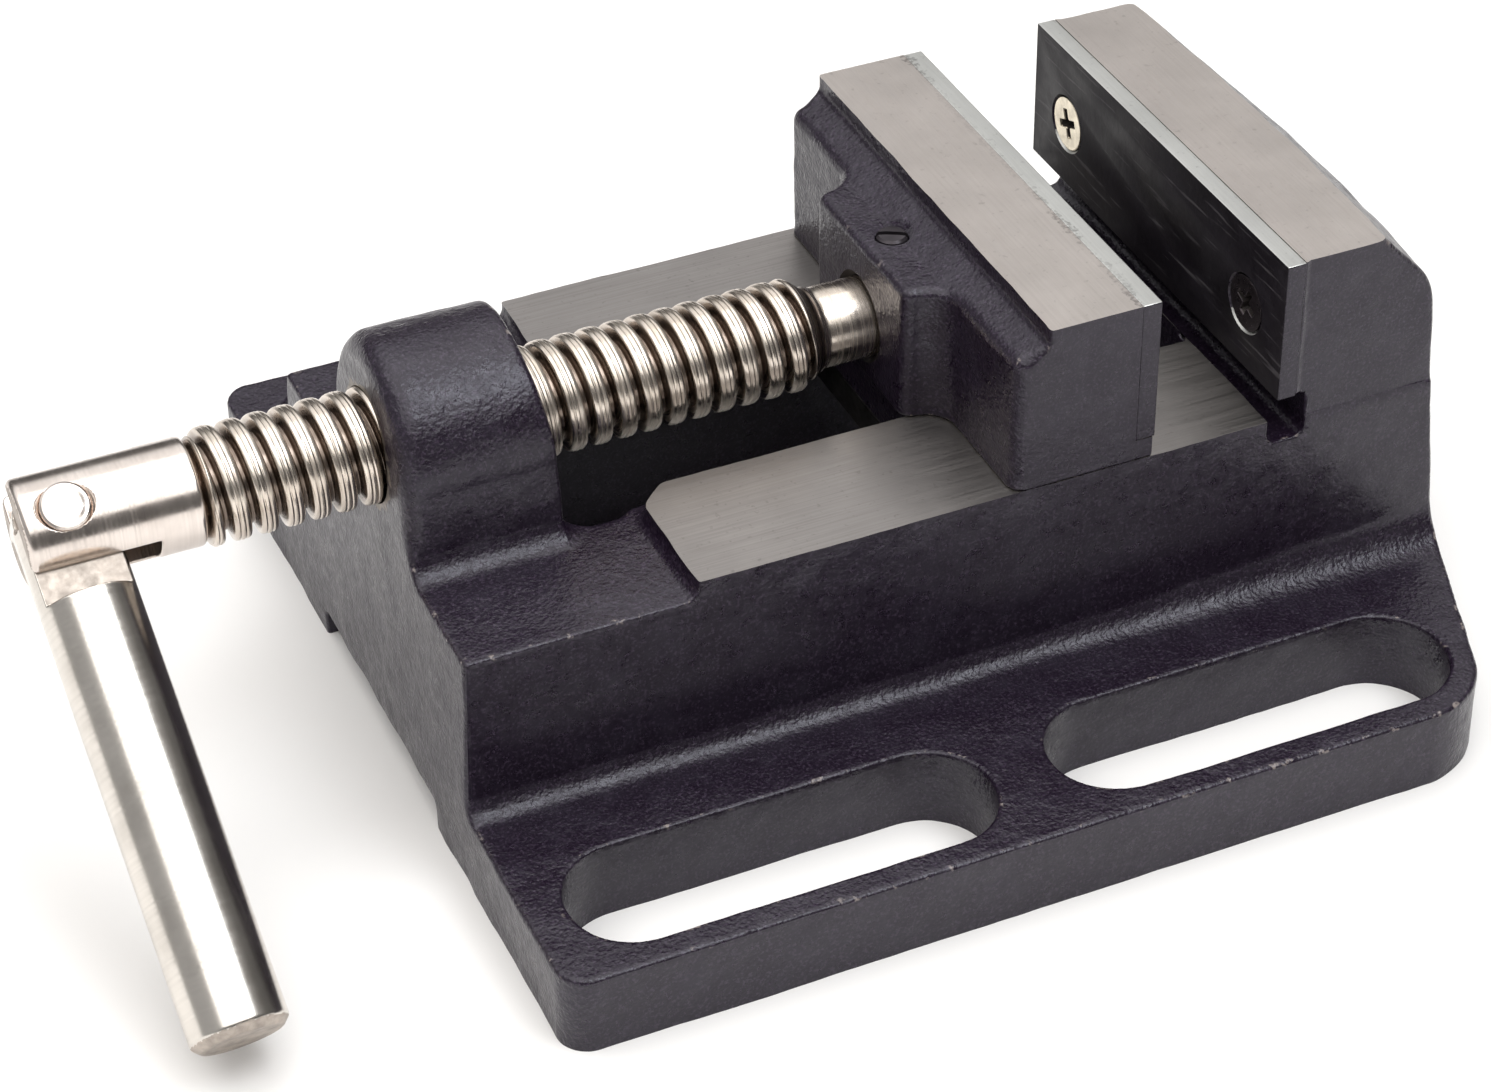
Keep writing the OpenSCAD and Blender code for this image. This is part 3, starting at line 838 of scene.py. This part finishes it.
class Look:
    """A Principled material and short names for the nodes that drive it."""

    def __init__(self, name, **values):
        self.material = bpy.data.materials.new(name)
        self.material.use_nodes = True
        self.tree = self.material.node_tree
        self.shader = self.tree.nodes["Principled BSDF"]
        for key, value in values.items():
            self.shader.inputs[key.replace("_", " ")].default_value = value
        self.coordinates = self.node("TexCoord")
        self.place = self.coordinates.outputs["Object"]

    def node(self, kind, **settings):
        return add_node(self.tree, kind, **settings)

    def feed(self, socket, value):
        if isinstance(value, bpy.types.NodeSocket):
            self.tree.links.new(value, socket)
        else:
            socket.default_value = value

    def stretch(self, scale, turn=(0, 0, 0)):
        """The piece's own coordinates, stretched along each axis."""
        made = self.node("Mapping")
        made.inputs["Scale"].default_value = scale
        made.inputs["Rotation"].default_value = turn
        self.feed(made.inputs["Vector"], self.place)
        return made.outputs["Vector"]

    def grain(self, directions, scales):
        """Coordinates measured along given directions, each with its own scale."""
        joined = self.node("CombineXYZ")
        for direction, scale, name in zip(directions, scales, "XYZ"):
            along = self.node("VectorMath", operation="DOT_PRODUCT")
            self.feed(along.inputs[0], self.place)
            along.inputs[1].default_value = [scale * v for v in direction]
            self.feed(joined.inputs[name], along.outputs["Value"])
        return joined.outputs["Vector"]

    def noise(self, scale, detail=2.0, roughness=0.5, vector=None):
        made = self.node("TexNoise")
        for key, value in (("Vector", vector or self.place), ("Scale", scale), ("Detail", detail),
                           ("Roughness", roughness)):
            self.feed(made.inputs[key], value)
        return made.outputs["Fac"]

    def attribute(self, name):
        return self.node("Attribute", attribute_name=name).outputs["Fac"]

    def range(self, value, low, high, new_low=0.0, new_high=1.0):
        """Maps low..high to new_low..new_high, clamped."""
        made = self.node("MapRange")
        for key, given in (("Value", value), ("From Min", low), ("From Max", high), ("To Min", new_low),
                           ("To Max", new_high)):
            self.feed(made.inputs[key], given)
        return made.outputs["Result"]

    def compute(self, operation, a, b=0.0):
        made = self.node("Math", operation=operation)
        self.feed(made.inputs[0], a)
        self.feed(made.inputs[1], b)
        return made.outputs[0]

    def times(self, a, b):
        return self.compute("MULTIPLY", a, b)

    def axis(self, name, of="Object"):
        """One coordinate of the piece in metres, or one component of its normal."""
        split = self.node("SeparateXYZ")
        self.feed(split.inputs[0], self.coordinates.outputs[of])
        return split.outputs[name]

    def blend(self, factor, a, b):
        made = self.node("Mix", data_type="RGBA")
        self.feed(made.inputs["Factor"], factor)
        self.feed(made.inputs["A"], a if isinstance(a, bpy.types.NodeSocket) else (*a, 1))
        self.feed(made.inputs["B"], b if isinstance(b, bpy.types.NodeSocket) else (*b, 1))
        return made.outputs["Result"]

    def bump(self, height, depth_mm):
        made = self.node("Bump")
        made.inputs["Distance"].default_value = depth_mm * MM
        self.feed(made.inputs["Height"], height)
        return made.outputs["Normal"]

    def finish(self, colour, roughness, normal):
        """Feeds the shader, and gives the finished material."""
        for name, value in (("Base Color", colour), ("Roughness", roughness), ("Normal", normal)):
            self.feed(self.shader.inputs[name], value)
        return self.material


def enamel_look():
    """Semi-gloss black enamel over a sand-cast skin, rubbed through on its sharpest upper edges; that light
    grey is also a painted highlight along the rims.
    """
    look = Look("black_enamel", IOR=1.5)
    look.shader.inputs["Specular Tint"].default_value = (0.93, 0.93, 1.0, 1)
    grit = look.noise(1700, 1.0, 0.5)
    pebble = look.noise(700, 1.5, 0.5)
    lumps = look.noise(260, 1.0, 0.5)
    skin = look.compute("ADD", look.times(grit, 0.6), look.times(pebble, 0.7))
    skin = look.compute("ADD", skin, look.times(lumps, 0.12))
    flat_side = look.range(look.compute("ABSOLUTE", look.axis("Y", "Normal")), 0.90, 0.99, 1.0, 0.35)
    skin = look.times(skin, flat_side)
    dust = look.range(look.noise(160, 4.0, 0.65), 0.45, 0.75)
    specks = look.range(look.noise(2100, 2.0, 0.6), 0.52, 0.68, 0.0, 0.7)
    colour = look.blend(dust, (0.0080, 0.0040, 0.0105), (0.0155, 0.0115, 0.020))
    colour = look.blend(specks, colour, (0.046, 0.033, 0.054))
    # Light grey on the sharpest upward-facing edges: partly worn paint, partly a painted highlight along the
    # rims.
    upward = look.range(look.axis("Z", "Normal"), 0.15, 0.5)
    wear_and_highlight = look.times(look.range(look.attribute("edge"), 0.55, 1.0), upward)
    wear_and_highlight = look.times(wear_and_highlight, look.range(look.noise(420, 3.0, 0.7), 0.59, 0.68))
    colour = look.blend(wear_and_highlight, colour, (0.21, 0.18, 0.17))
    roughness = look.range(look.noise(520, 3.0, 0.6), 0.3, 0.7, 0.24, 0.40)
    return look.finish(colour, roughness, look.bump(skin, 0.20))


def ground_look(name, colour, dark, grain, roughness=(0.34, 0.50), seam=None):
    """Ground iron: fine scratches, soft stains, a few pits, and dirt along the joint with a plate."""
    look = Look(name, Metallic=1.0)
    lines = look.noise(1.0, 3.0, 0.6, look.stretch(grain))
    stains = look.range(look.noise(70, 5.0, 0.6), 0.35, 0.7)
    spots = look.range(look.noise(900, 2.0, 0.6), 0.64, 0.74)
    base = look.blend(stains, colour, tuple(0.86 * c for c in colour))
    base = look.blend(look.times(spots, 0.5), base, dark)
    base = look.blend(look.range(lines, 0.35, 0.75, 0.0, 0.30), base, dark)
    if seam is not None:
        away = look.compute("ABSOLUTE", look.compute("SUBTRACT", look.axis("X"), seam * MM))
        reach = look.range(look.noise(330, 3.0, 0.6), 0.42, 0.75, 0.0002, 0.0017)
        dirt = look.compute("LESS_THAN", away, reach)
        dirt = look.times(dirt, look.range(look.noise(1500, 2.0), 0.4, 0.6))
        patches = look.range(look.noise(60, 2.0, 0.5), 0.44, 0.60, 0.15, 0.50)
        base = look.blend(look.times(dirt, patches), base, (0.06, 0.05, 0.05))
    return look.finish(base, look.range(lines, 0.3, 0.7, *roughness), look.bump(lines, 0.008))


def plate_face_look():
    """Blackened face of a hardened plate, with long scratches."""
    look = Look("blackened_plate_face", IOR=1.4)
    scratches = look.range(look.noise(1.0, 4.0, 0.6, look.stretch((200, 60, 900), (0.6, 0, 0))), 0.60, 0.68)
    smears = look.range(look.noise(120, 5.0, 0.6), 0.45, 0.75)
    colour = look.blend(smears, (0.007, 0.005, 0.008), (0.016, 0.013, 0.018))
    colour = look.blend(look.times(scratches, 0.35), colour, (0.16, 0.15, 0.16))
    pits = look.bump(look.noise(600, 3.0, 0.6), 0.05)
    return look.finish(colour, look.range(smears, 0, 1, 0.50, 0.68), pits)


def turned_look(name, colour, dark, rings, roughness, depth_mm=0.006, root_oil_and_shade=None):
    """Turned bright metal: fine rings about its own axis. rings stretches the coordinates. A root colour,
    where given, darkens the thread's roots: partly oil, partly painted shade.
    """
    look = Look(name, Metallic=1.0)
    lines = look.noise(1.0, 2.0, 0.6, rings(look))
    stains = look.range(look.noise(140, 4.0, 0.6), 0.42, 0.72)
    base = look.blend(stains, colour, tuple(0.5 * (c + d) for c, d in zip(colour, dark)))
    base = look.blend(look.range(lines, 0.35, 0.75, 0.0, 0.25), base, dark)
    # Darker in the thread's roots: partly oil, partly painted shade.
    if root_oil_and_shade:
        depth = look.range(look.attribute("height"), 0.25, 0.90, 1.0, 0.0)
        base = look.blend(look.times(depth, 0.85), base, root_oil_and_shade)
        roughness = (roughness[0], roughness[1] + 0.04)
    return look.finish(base, look.range(lines, 0.3, 0.7, *roughness), look.bump(lines, depth_mm))


def plain_metal_look(name, colour, roughness, bump_mm=0.01, metallic=1.0):
    look = Look(name, Metallic=metallic)
    stains = look.range(look.noise(400, 4.0, 0.6), 0.35, 0.7)
    colour = look.blend(stains, colour, tuple(0.6 * c for c in colour))
    roughness = look.range(look.noise(900, 3.0, 0.6), 0.3, 0.7, *roughness)
    return look.finish(colour, roughness, look.bump(look.noise(1400, 3.0, 0.6), bump_mm))


def finish_piece(piece, *nodes):
    """Puts a piece in place of its CAD nodes, on their body."""
    body = next(b for b, members in frame["record"]["behaviour"]["bodies"].items() if nodes[0] in members)
    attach(piece, body)
    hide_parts(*nodes)


# ------------ stage, light and camera
def build_stage():
    floor = new_object("floor", [(-2500, -2500, 0), (2500, -2500, 0), (2500, 2500, 0), (-2500, 2500, 0)],
                       [[0, 1, 2, 3]])
    look = Look("pale_floor", Roughness=0.8)
    shade = look.blend(look.range(look.noise(3), 0.3, 0.7), (0.86, 0.85, 0.84), (0.88, 0.87, 0.86))
    look.feed(look.shader.inputs["Base Color"], shade)
    paint(floor, [look.material])


def build_light():
    def softbox(name, place, target, size, radiance, colour):
        light = bpy.data.lights.new(name, "AREA")
        light.shape, light.size, light.size_y = "RECTANGLE", *size
        light.energy = radiance * math.pi * size[0] * size[1]
        light.color = colour
        lamp = add_object(name, light)
        lamp.location = place
        lamp.rotation_euler = (Vector(target) - Vector(place)).to_track_quat("-Z", "Y").to_euler()
        return lamp

    softbox("overhead", (-0.27, -0.41, 1.0), (-0.27, -0.36, 0), (1.6, 1.9), 1.62, (1.0, 0.985, 0.96))
    softbox("key", (0.28, -0.39, 0.98), (-0.06, -0.01, 0.05), (0.45, 0.45), 4.5, (0.90, 0.95, 1.0))
    fill = softbox("floor_fill", (0, 0, 2.0), (0, 0, 0), (3.0, 3.0), 0.4, (1.0, 0.99, 0.98))
    fill.visible_glossy = False
    build_world()
    bpy.context.scene.view_settings.view_transform = "Standard"


def build_world():
    """Dark low surroundings, a pale screen high up beyond the vise, and a grey wall on the handle's side."""
    world = bpy.data.worlds.new("studio")
    bpy.context.scene.world = world
    world.use_nodes = True
    tree = world.node_tree

    def node(kind, **settings):
        return add_node(tree, kind, **settings)

    split = node("SeparateXYZ")
    tree.links.new(node("TexCoord").outputs["Generated"], split.inputs[0])
    ramp = node("ValToRGB")
    tree.links.new(split.outputs["Z"], ramp.inputs["Fac"])
    stops = [(0.0, 0.10), (0.50, 0.16), (0.80, 0.45), (1.0, 0.6)]       # height and brightness
    for position, _ in stops[1:-1]:
        ramp.color_ramp.elements.new(position)
    for element, (_, value) in zip(ramp.color_ramp.elements, stops):
        element.color = (value, 0.975 * value, 0.955 * value, 1)

    def glow(output, start, end, strength):
        made = node("MapRange", interpolation_type="SMOOTHSTEP")
        for key, value in (("From Min", start), ("From Max", end), ("To Min", 0.0), ("To Max", strength)):
            made.inputs[key].default_value = value
        tree.links.new(split.outputs[output], made.inputs["Value"])
        return made.outputs["Result"]

    def combined(kind, operation, a, b):
        made = node(kind, operation=operation)
        tree.links.new(a, made.inputs[0])
        tree.links.new(b, made.inputs[1])
        return made.outputs[0]

    screen = combined("Math", "MULTIPLY", glow("Y", 0.15, 0.65, 1.0), glow("Z", 0.36, 0.60, 0.85))
    extra = combined("Math", "ADD", screen, glow("X", -0.3, -0.95, 0.30))
    total = combined("VectorMath", "ADD", ramp.outputs["Color"], extra)
    tree.links.new(total, tree.nodes["Background"].inputs["Color"])


def build_camera():
    """Camera that was solved from the straight edges of the vise."""
    place = (-0.203455, -0.434112, 0.378173)
    azimuth, elevation, roll = math.radians(-23.75), math.radians(35.99), math.radians(-0.64)
    camera = bpy.data.cameras.new("camera")
    camera.sensor_width, camera.lens = 36.0, 91.23
    camera.shift_x, camera.shift_y = -0.01273, -0.06702
    camera.clip_end = 50
    view = add_object("camera", camera)
    turned_view = Matrix.Rotation(azimuth, 4, "Z") @ Matrix.Rotation(math.pi / 2 - elevation, 4, "X")
    view.matrix_world = Matrix.Translation(place) @ turned_view @ Matrix.Rotation(roll, 4, "Z")
    bpy.context.scene.camera = view


def spindle_rings(look):
    return look.grain([(1, 0, 0), (0, 1, 0), (0, 0, 1)], (2600, 25, 25))


def bar_rings(look):
    side, way, axis = at_pin(BAR_LEAN).to_3x3().transposed()
    return look.grain([side, way, axis], (25, 1800, 25))


def main():
    build_camera()
    build_stage()
    build_light()
    enamel = enamel_look()
    ground_bed = ground_look("ground_bed", (0.35, 0.33, 0.32), (0.18, 0.165, 0.16), (50, 2400, 50))
    warm = (0.60, 0.555, 0.525), (0.32, 0.29, 0.27), (1500, 60, 60)
    cool = (0.66, 0.665, 0.645), (0.35, 0.35, 0.34), (1500, 60, 60)
    fixed_top = ground_look("ground_fixed_jaw", *warm)
    moving_top = ground_look("ground_moving_jaw", *warm, seam=MOVING_SEAT)
    plate_top = ground_look("ground_plate", *cool)
    moving_plate_top = ground_look("ground_moving_plate", *cool, seam=MOVING_SEAT)
    bare = plain_metal_look("machined_iron", (0.30, 0.27, 0.24), (0.40, 0.60))
    face = plate_face_look()
    # The nickel thread's roots are darkened: oil, and painted shade.
    nickel = turned_look("nickel_thread", (0.78, 0.70, 0.62), (0.42, 0.35, 0.28), spindle_rings,
                         (0.16, 0.30), root_oil_and_shade=(0.115, 0.080, 0.062))
    steel = turned_look("bright_head", (0.78, 0.71, 0.66), (0.50, 0.43, 0.39), spindle_rings, (0.15, 0.27))
    faced = plain_metal_look("faced_end", (0.52, 0.46, 0.41), (0.42, 0.60), 0.02)
    bar_steel = turned_look("bright_bar", (0.72, 0.68, 0.63), (0.46, 0.43, 0.39), bar_rings,
                            (0.16, 0.26), 0.003)
    cream = plain_metal_look("plated_screw", (0.88, 0.80, 0.64), (0.25, 0.42))
    dark_screw = plain_metal_look("painted_screw", (0.05, 0.04, 0.045), (0.22, 0.40), metallic=0.6)
    # Near-black for the screws' cross recesses and the jaw's bore: partly dirt, partly painted shade in the
    # hollows.
    dirt_and_shade = plain_metal_look("recess_dirt_and_shade", (0.035, 0.028, 0.026), (0.45, 0.65), metallic=0.4)
    black_screw = plain_metal_look("blackened_screw", (0.06, 0.052, 0.06), (0.25, 0.40), metallic=0.7)
    # Rolled steel darkened to near black: painted shade for the keeper, which lies in shadow below the
    # rails.
    shaded_keeper_steel = plain_metal_look("rolled_steel_painted_shade", (0.075, 0.070, 0.068), (0.45, 0.60))
    zinc = plain_metal_look("zinc_plate", (0.62, 0.62, 0.60), (0.28, 0.42))

    finish_piece(build_base(enamel, fixed_top, bare, ground_bed), "base_casting")
    finish_piece(build_jaw(enamel, moving_top, bare, dirt_and_shade), "moving_jaw")
    finish_piece(build_plate("fixed_plate", FIXED_PLATE_LOW, FIXED_PLATE_HIGH, FIXED_FACE, FIXED_SEAT,
                             (face, plate_top, enamel)), "fixed_jaw_plate")
    finish_piece(build_plate("moving_plate", MOVING_PLATE_LOW, MOVING_PLATE_HIGH, MOVING_FACE, MOVING_SEAT,
                             (face, moving_plate_top, enamel)), "moving_jaw_plate")
    mesh = screw_mesh()
    build_screw("fixed", "near", mesh, 24, dark_screw, dirt_and_shade)
    build_screw("fixed", "far", mesh, -22, cream, dirt_and_shade)
    build_screw("moving", "near", mesh, 20, cream, dirt_and_shade)
    build_screw("moving", "far", mesh, 65, cream, dirt_and_shade)
    finish_piece(build_spindle(nickel, steel, faced), "spindle")
    finish_piece(build_pin(steel), "handle_pin")
    finish_piece(build_bar(bar_steel, faced), "handle_bar")
    finish_piece(build_set_screw(black_screw), "spindle_set_screw")
    finish_piece(build_keeper(shaded_keeper_steel), "keeper_plate")
    for side in ("near", "far"):
        node = "keeper_bolt_" + side
        finish_piece(build_bolt("hex_bolt_" + side, node, zinc), node)
        node = "spring_washer_" + side
        finish_piece(build_washer("split_washer_" + side, node, zinc), node)


main()
